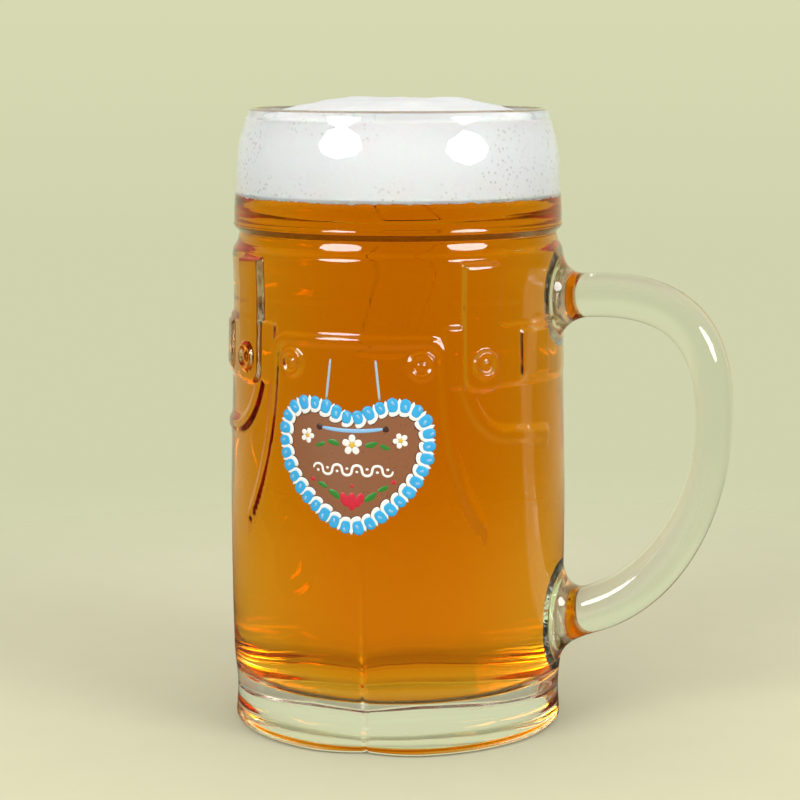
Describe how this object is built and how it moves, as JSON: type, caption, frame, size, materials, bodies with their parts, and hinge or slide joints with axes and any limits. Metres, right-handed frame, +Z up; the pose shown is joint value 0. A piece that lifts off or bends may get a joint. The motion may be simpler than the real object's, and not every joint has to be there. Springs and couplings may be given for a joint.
{
  "type": "beer mug",
  "caption": "Filled clear glass beer mug moulded as leather breeches with braces and flap, a heart print on the front, a looped handle, amber beer and a low head of foam.",
  "frame": {"origin": "On the table, under the middle of the whole mug's box, handle included", "axes": "+Z up through the mouth, +X towards the handle, -Y out of the printed front"},
  "size_m": [0.1264, 0.0846, 0.1557],
  "materials": {
    "glass": "clear, fire-polished",
    "beer": "clear amber liquid",
    "foam": "matt, fine bubbles",
    "brown_print": "fired enamel",
    "white_print": "fired enamel",
    "blue_print": "fired enamel"
  },
  "bodies": {
    "root": {"glass_body": "glass", "handle": "glass", "beer": "beer", "foam_head": "foam", "heart_ground": "brown_print", "heart_border": "white_print", "heart_cord_left": "blue_print", "heart_cord_right": "blue_print"}
  },
  "joints": []
}
